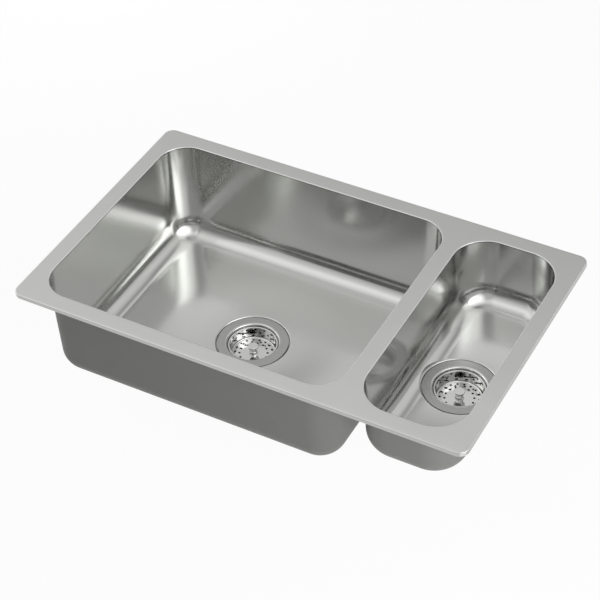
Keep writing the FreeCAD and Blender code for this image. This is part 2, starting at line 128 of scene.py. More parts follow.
def smooth(piece, angle=35):
    pickOnly(piece)
    bpy.ops.object.shade_smooth_by_angle(angle=math.radians(angle))
    applyModifier(piece, "WEIGHTED_NORMAL", keep_sharp=True, weight=60)


def arc(centre, radius, first, last, steps):
    # points of an arc in a (radius, height) profile, angles in degrees
    points = []
    for step in range(steps + 1):
        angle = math.radians(first + (last - first) * step / steps)
        points.append((centre[0] + radius * math.cos(angle), centre[1] + radius * math.sin(angle)))
    return points


def spinPiece(name, profile, steps, closed=True):
    # one vertex is drawn out along the profile, and the line is spun about the upright axis
    piece = startPlane(name)
    choose("verts", lambda v: v.index > 0)
    bpy.ops.mesh.delete(type="VERT")
    bpy.ops.mesh.select_all(action="SELECT")
    start = Vector((profile[0][0], 0, profile[0][1]))
    shape = bmesh.from_edit_mesh(piece.data)
    shape.verts.ensure_lookup_table()
    bpy.ops.transform.translate(value=start - shape.verts[0].co)
    path = profile[1:] + (profile[:1] if closed else [])
    here = start
    for radius, height in path:
        there = Vector((radius, 0, height))
        bpy.ops.mesh.extrude_region_move(TRANSFORM_OT_translate={"value": there - here})
        here = there
    bpy.ops.mesh.select_all(action="SELECT")
    bpy.ops.mesh.remove_doubles(threshold=near)
    bpy.ops.mesh.select_all(action="SELECT")
    bpy.ops.mesh.spin(steps=steps, angle=2 * math.pi, center=(0, 0, 0), axis=(0, 0, 1))
    tidyNormals()
    bpy.ops.object.mode_set(mode="OBJECT")
    return piece


def moveMesh(piece, at):
    # the place goes into the mesh, and the object stays at the origin
    pickOnly(piece)
    bpy.ops.object.mode_set(mode="EDIT")
    bpy.ops.mesh.select_all(action="SELECT")
    bpy.ops.transform.translate(value=at)
    bpy.ops.object.mode_set(mode="OBJECT")


def copyPiece(piece, name, at):
    pickOnly(piece)
    bpy.ops.object.duplicate()
    copy = bpy.context.object
    copy.name = name
    moveMesh(copy, at)
    return copy


def dress(piece, node, body, material=None):
    if material:
        piece.data.materials.clear()
        piece.data.materials.append(material)
    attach(piece, body)
    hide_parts(node)


# Materials

def newMaterial(name, color, metallic, roughness):
    material = bpy.data.materials.new(name)
    material.use_nodes = True
    shader = material.node_tree.nodes["Principled BSDF"]
    shader.inputs["Base Color"].default_value = (*color, 1)
    shader.inputs["Metallic"].default_value = metallic
    shader.inputs["Roughness"].default_value = roughness
    return material, shader


def link(tree, source, output, target, entry):
    tree.links.new(source.outputs[output], target.inputs[entry])


def newGroup(name, vectors, numbers, results):
    # an empty shader group with its named sockets, its entry and its exit
    group = bpy.data.node_groups.new(name, "ShaderNodeTree")
    for socket in vectors:
        group.interface.new_socket(socket, in_out="INPUT", socket_type="NodeSocketVector")
    for socket in numbers:
        group.interface.new_socket(socket, in_out="INPUT", socket_type="NodeSocketFloat")
    for socket in results:
        group.interface.new_socket(socket, in_out="OUTPUT", socket_type="NodeSocketFloat")
    return group, group.nodes.new("NodeGroupInput"), group.nodes.new("NodeGroupOutput")


def newMath(tree, operation, kind="ShaderNodeMath"):
    node = tree.nodes.new(kind)
    node.operation = operation
    return node


grainShare = {"lines": 0.55, "patches": 0.45, "from": (0.3, 0.7)}


def makeGrain():
    # fine drawn lines along one direction, with slow patches of tone
    numbers = ("Patches", "Low", "High")
    group, entry, leave = newGroup("drawnGrain", ("Place", "Lines"), numbers, ("Line", "Rough"))
    nodes = group.nodes
    stretch = newMath(group, "MULTIPLY", "ShaderNodeVectorMath")
    lines = nodes.new("ShaderNodeTexNoise")
    lines.inputs["Scale"].default_value = 1
    lines.inputs["Detail"].default_value = 3
    lines.inputs["Roughness"].default_value = 0.65
    patches = nodes.new("ShaderNodeTexNoise")
    patches.inputs["Detail"].default_value = 2
    blend = newMath(group, "MULTIPLY_ADD")
    blend.inputs[1].default_value = grainShare["lines"]
    half = newMath(group, "MULTIPLY")
    half.inputs[1].default_value = grainShare["patches"]
    spread = nodes.new("ShaderNodeMapRange")
    spread.inputs["From Min"].default_value, spread.inputs["From Max"].default_value = grainShare["from"]
    link(group, entry, "Place", stretch, 0)
    link(group, entry, "Lines", stretch, 1)
    link(group, stretch, "Vector", lines, "Vector")
    link(group, entry, "Place", patches, "Vector")
    link(group, entry, "Patches", patches, "Scale")
    link(group, patches, "Fac", half, 0)
    link(group, lines, "Fac", blend, 0)
    link(group, half, "Value", blend, 2)
    link(group, blend, "Value", spread, "Value")
    link(group, entry, "Low", spread, "To Min")
    link(group, entry, "High", spread, "To Max")
    link(group, lines, "Fac", leave, "Line")
    link(group, spread, "Result", leave, "Rough")
    return group


grain = makeGrain()


def steelLines(tree, shader, group, look):
    # places a grain group in a steel and joins it to gloss and bump
    lines = tree.nodes.new("ShaderNodeGroup")
    lines.node_tree = group
    lines.inputs["Low"].default_value, lines.inputs["High"].default_value = look["rough"]
    bump = tree.nodes.new("ShaderNodeBump")
    bump.inputs["Strength"].default_value = look["bump"]
    bump.inputs["Distance"].default_value = look["height"]
    link(tree, lines, "Rough", shader, "Roughness")
    link(tree, lines, "Line", bump, "Height")
    link(tree, bump, "Normal", shader, "Normal")
    return lines


def grainedSteel(name, look):
    material, shader = newMaterial(name, look["color"], look.get("metal", 1), look["rough"][0])
    tree = material.node_tree
    place = tree.nodes.new("ShaderNodeTexCoord")
    lines = steelLines(tree, shader, grain, look)
    lines.inputs["Lines"].default_value = look["lines"]
    lines.inputs["Patches"].default_value = look["patches"]
    link(tree, place, "Object", lines, "Place")
    return material


def makeTurned():
    # fine circles round the upright axis, as a lathe leaves them
    group, entry, leave = newGroup("turnedGrain", ("Place",), ("Rings", "Low", "High"), ("Line", "Rough"))
    nodes = group.nodes
    flat = newMath(group, "MULTIPLY", "ShaderNodeVectorMath")
    flat.inputs[1].default_value = (1, 1, 0)
    away = newMath(group, "LENGTH", "ShaderNodeVectorMath")
    count = newMath(group, "MULTIPLY")
    around = newMath(group, "NORMALIZE", "ShaderNodeVectorMath")
    lift = nodes.new("ShaderNodeCombineXYZ")
    spot = newMath(group, "ADD", "ShaderNodeVectorMath")
    lines = nodes.new("ShaderNodeTexNoise")
    lines.inputs["Scale"].default_value = 1
    lines.inputs["Detail"].default_value = 3
    spread = nodes.new("ShaderNodeMapRange")
    spread.inputs["From Min"].default_value, spread.inputs["From Max"].default_value = grainShare["from"]
    link(group, entry, "Place", flat, 0)
    link(group, flat, "Vector", away, 0)
    link(group, away, "Value", count, 0)
    link(group, entry, "Rings", count, 1)
    link(group, flat, "Vector", around, 0)
    link(group, count, "Value", lift, "Z")
    link(group, around, "Vector", spot, 0)
    link(group, lift, "Vector", spot, 1)
    link(group, spot, "Vector", lines, "Vector")
    link(group, lines, "Fac", spread, "Value")
    link(group, entry, "Low", spread, "To Min")
    link(group, entry, "High", spread, "To Max")
    link(group, lines, "Fac", leave, "Line")
    link(group, spread, "Result", leave, "Rough")
    return group


turned = makeTurned()


def turnedSteel(name, look, centre):
    material, shader = newMaterial(name, look["color"], 1, look["rough"][0])
    tree = material.node_tree
    place = tree.nodes.new("ShaderNodeTexCoord")
    middle = tree.nodes.new("ShaderNodeMapping")
    middle.inputs["Location"].default_value = (-centre[0], -centre[1], -centre[2])
    lines = steelLines(tree, shader, turned, look)
    lines.inputs["Rings"].default_value = look["rings"]
    link(tree, place, "Object", middle, "Vector")
    link(tree, middle, "Vector", lines, "Place")
    return material


deckLook = {"color": (0.74, 0.743, 0.725), "rough": (0.26, 0.42), "lines": (40, 2600, 2600), "patches": 9,
            "bump": 0.15, "height": 0.0002}
bowlLook = {"color": (0.60, 0.604, 0.588), "rough": (0.14, 0.17), "lines": (16, 16, 5), "patches": 7,
            "bump": 0.1, "height": 0.0003}
# dark grey coat on the bowls' outside: partly an undercoat, partly painted shade of the outer walls
outerCoatAndShadeLook = {"color": (0.19, 0.19, 0.182), "metal": 0, "rough": (0.45, 0.55), "lines": (300, 300, 300),
             "patches": 40, "bump": 0.1, "height": 0.0002}
edgeLook = {"color": (0.50, 0.50, 0.49), "rough": (0.26, 0.42), "lines": (40, 40, 2600), "patches": 9,
            "bump": 0.1, "height": 0.0002}
# near-white steel for the deck's opening lip: partly a polished lip, partly a painted highlight line
lipPolishAndHighlightLook = {"color": (0.96, 0.962, 0.945), "rough": (0.13, 0.19), "lines": (300, 300, 300), "patches": 40,
           "bump": 0.02, "height": 0.0001}
# near-black steel for the notch under the deck: painted shade of the seam
seamShadeLook = {"color": (0.05, 0.05, 0.048), "rough": (0.45, 0.55), "lines": (300, 300, 300), "patches": 40,
            "bump": 0.05, "height": 0.0001}
ringLook = {"color": (0.45, 0.45, 0.44), "rough": (0.24, 0.37), "rings": 1500, "bump": 0.12, "height": 0.0001}
# near-black steel inside the strainer's cup below the basket: painted shade of the recess
cupShadeLook = {"color": (0.10, 0.10, 0.098), "rough": (0.3, 0.42), "lines": (700, 700, 700), "patches": 80,
           "bump": 0.05, "height": 0.0001}
basketLook = {"color": (0.64, 0.64, 0.63), "rough": (0.06, 0.14), "lines": (500, 500, 500), "patches": 90,
              "bump": 0.02, "height": 0.0001}
zincLook = {"color": (0.50, 0.51, 0.52), "rough": (0.38, 0.55), "lines": (700, 700, 700), "patches": 120,
            "bump": 0.12, "height": 0.0002}
platedLook = {"color": (0.60, 0.60, 0.58), "rough": (0.22, 0.36), "lines": (600, 600, 600), "patches": 150,
              "bump": 0.06, "height": 0.0001}

deckSteel = grainedSteel("deckSteel", deckLook)
lipPolishAndHighlightSteel = grainedSteel("lipPolishAndHighlightSteel", lipPolishAndHighlightLook)
seamShadeSteel = grainedSteel("seamShadeSteel", seamShadeLook)
bowlSteel = grainedSteel("bowlSteel", bowlLook)
outerCoatAndShadeSteel = grainedSteel("outerCoatAndShadeSteel", outerCoatAndShadeLook)
edgeSteel = grainedSteel("edgeSteel", edgeLook)
cupShadeSteel = grainedSteel("cupShadeSteel", cupShadeLook)
basketSteel = grainedSteel("basketSteel", basketLook)
castZinc = grainedSteel("castZinc", zincLook)
platedSteel = grainedSteel("platedSteel", platedLook)


def softMaterial(name, look):
    material, shader = newMaterial(name, look["color"], 0, look["rough"])
    tree = material.node_tree
    place = tree.nodes.new("ShaderNodeTexCoord")
    speck = tree.nodes.new("ShaderNodeTexNoise")
    speck.inputs["Scale"].default_value = look["speck"]
    speck.inputs["Detail"].default_value = 4
    tone = tree.nodes.new("ShaderNodeValToRGB")
    tone.color_ramp.elements[0].position = 0.35
    tone.color_ramp.elements[1].position = 0.65
    tone.color_ramp.elements[0].color = (*look["color"], 1)
    tone.color_ramp.elements[1].color = (*look["light"], 1)
    bump = tree.nodes.new("ShaderNodeBump")
    bump.inputs["Strength"].default_value = look["bump"]
    bump.inputs["Distance"].default_value = 0.0003
    link(tree, place, "Object", speck, "Vector")
    link(tree, speck, "Fac", tone, "Fac")
    link(tree, tone, "Color", shader, "Base Color")
    link(tree, speck, "Fac", bump, "Height")
    link(tree, bump, "Normal", shader, "Normal")
    return material


rubberLook = {"color": (0.018, 0.018, 0.018), "light": (0.035, 0.035, 0.035), "rough": 0.55,
              "speck": 900, "bump": 0.15}
foamLook = {"color": (0.045, 0.045, 0.046), "light": (0.10, 0.10, 0.10), "rough": 0.9,
            "speck": 700, "bump": 0.5}
fibreLook = {"color": (0.42, 0.31, 0.17), "light": (0.55, 0.43, 0.27), "rough": 0.8,
             "speck": 500, "bump": 0.3}
rubber = softMaterial("blackRubber", rubberLook)
foam = softMaterial("sealFoam", foamLook)
fibre = softMaterial("pressedFibre", fibreLook)
print("materials made")


# Deck: flat sheet with a rolled, turned-down edge and two openings

deck = {"length": 0.750, "width": 0.460, "corner": 0.016, "cornerSteps": 16, "top": 0.007, "edgeRound": 0.002,
        "edgeSteps": 6, "sheet": 0.001, "ring": 0.006, "lip": 0.00095, "lipSteps": 4, "upright": 0.6}
openings = {
    "main": {"x": -0.095, "length": 0.504, "width": 0.404, "corner": 0.048, "steps": 24},
    "half": {"x": 0.266, "length": 0.162, "width": 0.404, "corner": 0.056, "steps": 24},
}


def turnedDown(face):
    # the upright part of the deck's edge
    spot = face.calc_center_median()
    acrossEdge = abs(spot.x) > deck["length"] / 2 - deck["edgeRound"]
    alongEdge = abs(spot.y) > deck["width"] / 2 - deck["edgeRound"]
    return (acrossEdge or alongEdge) and abs(face.normal.z) < deck["upright"]


def makeDeck():
    top = deck["top"]
    piece = startPlate("deckSheet", deck["length"], deck["width"], deck["corner"], deck["cornerSteps"],
                       (0, 0, 0))
    bpy.ops.mesh.select_all(action="SELECT")
    extrudeUp(top)
    choose("faces", lambda f: facesUp(f, 0))
    bpy.ops.mesh.delete(type="ONLY_FACE")
    choose("edges", lambda e: atHeight(e, top))
    bpy.ops.mesh.bevel(offset=deck["edgeRound"], segments=deck["edgeSteps"], profile=0.5, clamp_overlap=False)
    choose("faces", lambda f: facesUp(f, top))
    bpy.ops.mesh.inset(thickness=deck["ring"], depth=0)
    choose("faces", lambda f: facesUp(f, top) and len(f.verts) > 4)
    bpy.ops.mesh.delete(type="ONLY_FACE")
    for hole in openings.values():
        bpy.ops.mesh.select_all(action="DESELECT")
        bpy.ops.mesh.primitive_plane_add(size=1, location=(0, 0, 0))
        grow = deck["ring"]
        shapePlate(hole["length"] + 2 * grow, hole["width"] + 2 * grow, hole["corner"] + grow, hole["steps"],
                   (hole["x"], 0, top))
        bpy.ops.mesh.inset(thickness=grow, depth=0)
    choose("edges", lambda e: atHeight(e, top) and e.is_boundary)
    bpy.ops.mesh.fill(use_beauty=True)
    choose("faces", lambda f: facesUp(f, top) and len(f.verts) > 4)
    bpy.ops.mesh.delete(type="ONLY_FACE")
    tidyNormals()
    bpy.ops.object.mode_set(mode="OBJECT")
    applyModifier(piece, "SOLIDIFY", thickness=deck["sheet"], offset=-1, use_even_offset=True)
    bpy.ops.object.mode_set(mode="EDIT")
    choose("edges", lambda e: atHeight(e, top) and sharp(e))
    bpy.ops.mesh.bevel(offset=deck["lip"], segments=deck["lipSteps"], profile=0.5, clamp_overlap=False)
    # the opening's lip gets near-white steel, partly polish and partly a painted highlight
    for steel in (deckSteel, edgeSteel, lipPolishAndHighlightSteel):
        piece.data.materials.append(steel)
    piece.active_material_index = 2  # the bevel leaves the lip's faces selected
    bpy.ops.object.material_slot_assign()
    choose("faces", turnedDown)
    piece.active_material_index = 1
    bpy.ops.object.material_slot_assign()
    bpy.ops.object.mode_set(mode="OBJECT")
    smooth(piece)
    return piece


deckPiece = makeDeck()
dress(deckPiece, "deck_plate", "sink")
print("deck made:", len(deckPiece.data.polygons), "faces")


# Bowls: pressed from sheet, tapered walls, rounded floor that falls to a round seat for the strainer

bowl = {"top": 0.006, "draft": 2.3, "sheet": 0.001, "floorSteps": 16, "seatRadius": 0.0582, "seatDrop": 0.0064,
        "seatRound": 0.003, "seatFlare": 0.0012, "seatEnd": 14, "seatReach": 0.011, "drain": 0.044,
        "seatSteps": 128, "fall": 0.0032, "fallStart": 0.061, "cut": 0.016, "seam": 0.0009}
bowlDepths = {"main": {"floor": -0.1675, "round": 0.037, "fallEnd": 0.160, "across": 0.210},
              "half": {"floor": -0.108, "round": 0.036, "fallEnd": 0.150, "across": 0.045}}


def cutFloor(side, floor):
    # even cuts over the floor, and for the half bowl right across it, so that it can be dished
    step = bowl["cut"]
    across, along = bowlDepths[side]["across"], bowlDepths[side]["fallEnd"]
    for axis, limit in ((0, across), (1, along)):
        everywhere = side == "half" and axis == 1
        count = int(limit / step)
        for n in range(-count, count + 1):
            choose("faces", lambda f: everywhere or facesUp(f, floor))
            place, normal = [0, 0, 0], [0, 0, 0]
            place[axis] = n * step
            normal[axis] = 1
            bpy.ops.mesh.bisect(plane_co=place, plane_no=normal)


def dishFloor(side):
    shape = bmesh.from_edit_mesh(bpy.context.edit_object.data)
    first, last = bowl["fallStart"], bowlDepths[side]["fallEnd"]
    for v in shape.verts:
        if v.co.z < bowl["top"] - near:
            away = math.hypot(v.co.x, v.co.y)
            t = min(max((away - first) / (last - first), 0), 1)
            v.co.z -= bowl["fall"] * (0.5 + 0.5 * math.cos(math.pi * t))
    bmesh.update_edit_mesh(bpy.context.edit_object.data)


def innerTop(edge, hole):
    # the upper edge of the bowl on its inside
    reach, deep = hole["length"] / 2 + near, hole["width"] / 2 + near
    inside = all(abs(v.co.x) < reach and abs(v.co.y) < deep for v in edge.verts)
    return inside and atHeight(edge, bowl["top"]) and sharp(edge)


def makeBowl(side):
    hole = openings[side]
    floor = bowlDepths[side]["floor"]
    draft = math.radians(bowl["draft"])
    drop = bowl["top"] - floor
    piece = startPlate(side + "Bowl", hole["length"], hole["width"], hole["corner"], hole["steps"],
                       (0, 0, bowl["top"]))
    choose("faces", lambda f: True)
    bpy.ops.mesh.inset(thickness=drop * math.tan(draft), depth=-drop)
    choose("edges", lambda e: atHeight(e, floor))
    reach = bowlDepths[side]["round"] * math.tan(math.radians(45) - draft / 2)
    bpy.ops.mesh.bevel(offset=reach, segments=bowl["floorSteps"], profile=0.5, clamp_overlap=False)
    cutFloor(side, floor)
    choose("edges", lambda e: e.is_boundary)
    bpy.ops.mesh.edge_face_add()
    tidyNormals()
    dishFloor(side)
    bpy.ops.object.mode_set(mode="OBJECT")

    # the seat is a round plug with a shoulder that flares into the floor
    r, rise, flare = bowl["seatRadius"], bowl["seatRound"], bowl["seatFlare"]
    low, level, reach = floor - bowl["seatDrop"], floor - bowl["fall"], floor + bowl["seatReach"]
    profile = [(0, low), (r, low)] + arc((r + rise, level - rise), rise, 180, 90 + bowl["seatEnd"], 10)
    shoulder = profile[-1]
    profile += [(shoulder[0] + flare, shoulder[1] + flare * math.tan(math.radians(bowl["seatEnd"])))]
    profile += [(shoulder[0] + flare, reach), (0, reach)]
    plug = spinPiece(side + "Plug", profile, bowl["seatSteps"])
    combine(piece, plug, "UNION")
    pickOnly(piece)
    bpy.ops.object.mode_set(mode="EDIT")
    choose("faces", lambda f: facesUp(f, bowl["top"]))
    bpy.ops.mesh.delete(type="ONLY_FACE")
    choose("faces", lambda f: facesUp(f, low))
    bpy.ops.mesh.inset(thickness=r - bowl["drain"], depth=0)
    bpy.ops.mesh.delete(type="FACE")
    bpy.ops.object.mode_set(mode="OBJECT")
    # the outside gets the dark grey coat, partly painted shade; the inside gets the bowl steel
    piece.data.materials.clear()
    for steel in (outerCoatAndShadeSteel, bowlSteel, seamShadeSteel):
        piece.data.materials.append(steel)
    applyModifier(piece, "SOLIDIFY", thickness=bowl["sheet"], offset=1, use_even_offset=True, material_offset=1,
                  material_offset_rim=1)
    # a square notch under the deck runs round the opening, and its faces get near-black steel as painted shade
    # of the seam
    bpy.ops.object.mode_set(mode="EDIT")
    choose("edges", lambda e: innerTop(e, hole))
    bpy.ops.mesh.bevel(offset=bowl["seam"], segments=2, profile=0, clamp_overlap=False)
    piece.active_material_index = 2
    bpy.ops.object.material_slot_assign()
    bpy.ops.object.mode_set(mode="OBJECT")
    smooth(piece)
    moveMesh(piece, (hole["x"], 0, 0))
    return piece


for side in ("main", "half"):
    piece = makeBowl(side)
    dress(piece, side + "_bowl", "sink")
    print(side, "bowl made:", len(piece.data.polygons), "faces")


# Strainer body: flange with a rounded lip, cup, cross with a hub, threaded spigot

strainer = {"flange": 0.0575, "flangeEdge": 0.0005, "flangeDeep": 0.0012, "throat": 0.0405, "lip": 0.0035,
            "wall": 0.0018, "deep": 0.034, "floor": 0.002, "floorRound": 0.004, "spigot": 0.0239,
            "bore": 0.0205, "spigotLong": 0.018, "thread": 0.0016, "threadDeep": 0.0007, "threadStart": 0.0008,
            "threadTop": 0.0052, "cupThread": 0.0022, "cupThreadDeep": 0.0006, "crest": (0.4, 0.6),
            "steps": 128, "arm": 0.005, "hub": 0.0087, "hubBore": 0.0062, "hubSteps": 48, "drill": 0.05}
rings = {"main": (-0.095, 0, -0.1717), "half": (0.266, 0, -0.1122)}


def threadDown(radius, top, bottom, pitch, deep):
    # saw-tooth profile that runs down a threaded wall
    points = []
    count = int((top - bottom) / pitch)
    for turn in range(count):
        z = top - turn * pitch
        points += [(radius - deep, z)] + [(radius, z - pitch * share) for share in strainer["crest"]]
    points.append((radius - deep, top - count * pitch))
    return points


def insideCup(point):
    away = math.hypot(point.x, point.y)
    return away < strainer["throat"] + near and point.z < -strainer["lip"]


def onLip(point):
    away = math.hypot(point.x, point.y)
    return away < strainer["throat"] + strainer["lip"] and -strainer["lip"] < point.z < -near


def makeBeam(size, height):
    pickNothing()
    bpy.ops.mesh.primitive_cube_add(size=1, location=(0, 0, 0))
    bpy.ops.object.mode_set(mode="EDIT")
    bpy.ops.transform.resize(value=size, center_override=(0, 0, 0))
    bpy.ops.transform.translate(value=(0, 0, height))
    bpy.ops.object.mode_set(mode="OBJECT")
    return bpy.context.object


def makeStrainer():
    s = strainer
    under = s["deep"] + s["floor"]
    outer = s["throat"] + s["wall"]
    fillet = s["floorRound"] + s["wall"]
    end = under + s["spigotLong"]
    profile = arc((s["flange"] - s["flangeEdge"], -s["flangeEdge"]), s["flangeEdge"], 0, 90, 4)
    profile += arc((s["throat"] + s["lip"], -s["lip"]), s["lip"], 90, 180, 10)
    profile += arc((s["throat"] - s["floorRound"], -s["deep"] + s["floorRound"]), s["floorRound"], 0, -90, 6)
    profile += [(s["bore"], -s["deep"]), (s["bore"], -end), (s["spigot"] - s["threadDeep"], -end)]
    profile += threadDown(s["spigot"], -under - s["threadStart"], -end, s["thread"], s["threadDeep"])[::-1]
    profile += [(s["spigot"] - s["threadDeep"], -under)]
    profile += arc((outer - fillet, -under + fillet), fillet, -90, 0, 8)
    profile += threadDown(outer, -s["threadTop"], -(under - fillet), s["cupThread"], s["cupThreadDeep"])[::-1]
    profile += [(outer, -s["flangeDeep"]), (s["flange"], -s["flangeDeep"])]
    piece = spinPiece("strainer", profile, s["steps"])

    # cross and hub in the outlet
    arm, span, drill = s["arm"], s["bore"] + s["spigot"], s["drill"]
    cross = makeBeam((span, arm, arm), -under - arm / 2)
    beam = makeBeam((arm, span, arm), -under - arm / 2)
    hub = spinPiece("hub", [(0, -under), (s["hub"], -under), (s["hub"], -under - arm), (0, -under - arm)],
                    s["hubSteps"])
    hole = spinPiece("hubHole", [(0, 0), (s["hubBore"], 0), (s["hubBore"], -drill), (0, -drill)], s["hubSteps"])
    combine(cross, beam, "UNION")
    combine(cross, hub, "UNION")
    combine(cross, hole, "DIFFERENCE")
    combine(piece, cross, "UNION")
    piece.data.materials.clear()
    for material in (None, cupShadeSteel, basketSteel):
        piece.data.materials.append(material)
    bpy.ops.object.mode_set(mode="EDIT")
    # faces inside the cup get near-black steel as painted shade, and the lip gets the polished basket steel
    for place, test in ((1, insideCup), (2, onLip)):
        choose("faces", lambda f: test(f.calc_center_median()))
        piece.active_material_index = place
        bpy.ops.object.material_slot_assign()
    bpy.ops.object.mode_set(mode="OBJECT")
    smooth(piece)
    return piece


strainerPiece = makeStrainer()
for side, place in rings.items():
    copy = copyPiece(strainerPiece, side + "Strainer", place)
    copy.data.materials[0] = turnedSteel(side + "RingSteel", ringLook, place)
    dress(copy, side + "_strainer_body", "sink")
bpy.data.objects.remove(strainerPiece)
print("strainer bodies made")


# Basket: thin perforated cup with a flat rim

basket = {"rim": 0.0397, "top": 0.0379, "foot": 0.0369, "drop": 0.004, "under": 0.0253, "sheet": 0.0008,
          "round": 0.004, "bore": 0.00305, "hole": 0.0019, "holeSides": 14, "drill": 0.006, "wallAt": 0.037,
          "steps": 160, "floorRings": [(0.0302, 18), (0.0227, 14)], "wallRows": [(0.004, 0), (0.010, 0.5)],
          "rowCount": 16}


def makeBasket():
    b = basket
    taper = math.atan2(b["top"] - b["foot"], b["under"] - b["drop"] - b["sheet"])
    turn = math.pi / 2 - taper

    def corner(foot, level, radius):
        # rounding between the sloping wall and the floor
        reach = radius * math.tan(turn / 2)
        centre = (foot - reach, level + radius)
        return arc(centre, radius, -90, -math.degrees(taper), 6)

    profile = [(b["bore"], -b["under"])]
    profile += corner(b["foot"], -b["under"], b["round"])
    rimUnder = -b["drop"] - b["sheet"]
    profile += [(b["top"], rimUnder), (b["rim"], rimUnder), (b["rim"], -b["drop"])]
    profile += arc((b["top"], rimUnder), b["sheet"], 90, 165, 4)
    profile += corner(b["foot"] - b["sheet"], -b["under"] + b["sheet"], b["round"] - b["sheet"])[::-1]
    profile += [(b["bore"], -b["under"] + b["sheet"])]
    piece = spinPiece("basket", profile, b["steps"])

    # all the holes are bored at once
    drills = startPlane("drills")
    bpy.ops.mesh.select_all(action="SELECT")
    bpy.ops.mesh.delete(type="VERT")
    places = []
    for radius, count in b["floorRings"]:
        for n in range(count):
            places.append((radius, 2 * math.pi * n / count, -b["under"], False))
    for drop, shift in b["wallRows"]:
        for n in range(b["rowCount"]):
            places.append((b["wallAt"], 2 * math.pi * (n + shift) / b["rowCount"], -b["drop"] - drop, True))
    for radius, angle, height, level in places:
        bpy.ops.mesh.select_all(action="DESELECT")
        at = (radius * math.cos(angle), radius * math.sin(angle), height)
        tilt = (0, math.pi / 2, angle) if level else (0, 0, 0)
        bpy.ops.mesh.primitive_cylinder_add(vertices=b["holeSides"], radius=b["hole"], depth=b["drill"],
                                            location=at, rotation=tilt)
    tidyNormals()
    bpy.ops.object.mode_set(mode="OBJECT")
    combine(piece, drills, "DIFFERENCE")
    smooth(piece, 30)
    return piece


basketPiece = makeBasket()
for side, place in rings.items():
    copy = copyPiece(basketPiece, side + "Basket", place)
    dress(copy, side + "_basket", side + "_basket", basketSteel)
bpy.data.objects.remove(basketPiece)
print("baskets made")


# Knob: flat top, cone, neck and flared foot

knob = {"floor": -0.0245, "height": 0.0154, "radius": 0.0085, "top": 0.0016, "cone": 0.0065, "neck": 0.0055,
        "flare": 0.0062, "flareHigh": 0.004, "flareSteps": 8, "foot": 0.007, "footHigh": 0.0012,
        "footEdge": 0.0004, "edge": 0.0006, "underEdge": 0.0002, "bore": 0.00305, "socket": 0.008, "steps": 64}


def makeKnob():
    k = knob
    z = k["floor"]
    top = z + k["height"]
    profile = [(k["bore"], z), (k["foot"], z)]
    profile += arc((k["foot"] - k["footEdge"], z + k["footHigh"] - k["footEdge"]), k["footEdge"], 0, 90, 3)
    flareDeep = k["flareHigh"] - k["footHigh"]
    for step in range(k["flareSteps"] + 1):
        # bell-shaped flare
        t = step / k["flareSteps"]
        profile.append((k["neck"] + (k["flare"] - k["neck"]) * (1 - t) ** 2, z + k["footHigh"] + flareDeep * t))
    coneFoot = top - k["top"] - k["cone"]
    profile += [(k["neck"], coneFoot)]
    profile += [(k["radius"] - k["underEdge"], top - k["top"] - k["underEdge"]), (k["radius"], top - k["top"])]
    profile += arc((k["radius"] - k["edge"], top - k["edge"]), k["edge"], 0, 90, 5)
    profile += [(0, top), (0, z + k["socket"]), (k["bore"], z + k["socket"])]
    piece = spinPiece("knob", profile, k["steps"])
    smooth(piece, 40)
    return piece


knobPiece = makeKnob()
for side, place in rings.items():
    copy = copyPiece(knobPiece, side + "Knob", place)
    dress(copy, side + "_knob", side + "_basket", basketSteel)
bpy.data.objects.remove(knobPiece)
print("knobs made")


# The other pieces keep their CAD shapes: a merged copy gets softened edges and its own finish

softTurn = {"flat": 1, "edge": 40}  # degrees: merged below the first, rounded above the second
soft = {"rubber": 0.0004, "fibre": 0.0001, "zinc": 0.0006, "plated": 0.0003, "foam": 0.0005}
finishes = {"rim_seal": (foam, "foam")}
for side in rings:
    finishes.update({side + "_flange_gasket": (rubber, "rubber"), side + "_rubber_washer": (rubber, "rubber"),
                     side + "_friction_ring": (fibre, "fibre"), side + "_locknut": (castZinc, "zinc"),
                     side + "_basket_stem": (platedSteel, "plated"), side + "_stopper": (rubber, "rubber"),
                     side + "_stem_collet": (platedSteel, "plated")})
for name in frame["nodes"]:
    if name.startswith("clip_"):
        finishes[name] = (platedSteel, "plated")
bodyOf = {node: body for body, nodes in frame["record"]["behaviour"]["bodies"].items() for node in nodes}


def soften(name, material, edge):
    pickOnly(frame["nodes"][name])
    bpy.ops.object.duplicate()
    copy = bpy.context.object
    copy.name = name + "Soft"
    bpy.ops.object.mode_set(mode="EDIT")
    tidyNormals()
    bpy.ops.mesh.dissolve_limited(angle_limit=math.radians(softTurn["flat"]))
    bpy.ops.object.mode_set(mode="OBJECT")
    applyModifier(copy, "BEVEL", width=edge, segments=2, limit_method="ANGLE",
                  angle_limit=math.radians(softTurn["edge"]))
    smooth(copy)
    dress(copy, name, bodyOf[name], material)


for name, (material, kind) in finishes.items():
    node = frame["nodes"][name]
    node.data.materials.clear()
    node.data.materials.append(material)
    soften(name, material, soft[kind])
print("softened", len(finishes), "pieces")


# Stage: pale floor, white surround, soft lamps and the camera

stage = {"floorZ": -0.2262, "floorSize": 14, "floorColor": (0.9, 0.9, 0.9), "white": 0.955}


def seenRays(tree):
    # one for rays that show the surround: straight to the camera, in a gloss or through glass
    path = tree.nodes.new("ShaderNodeLightPath")
    first = newMath(tree, "MAXIMUM")
    second = newMath(tree, "MAXIMUM")
    link(tree, path, "Is Camera Ray", first, 0)
    link(tree, path, "Is Glossy Ray", first, 1)
    link(tree, first, 0, second, 0)
    link(tree, path, "Is Transmission Ray", second, 1)
    return second


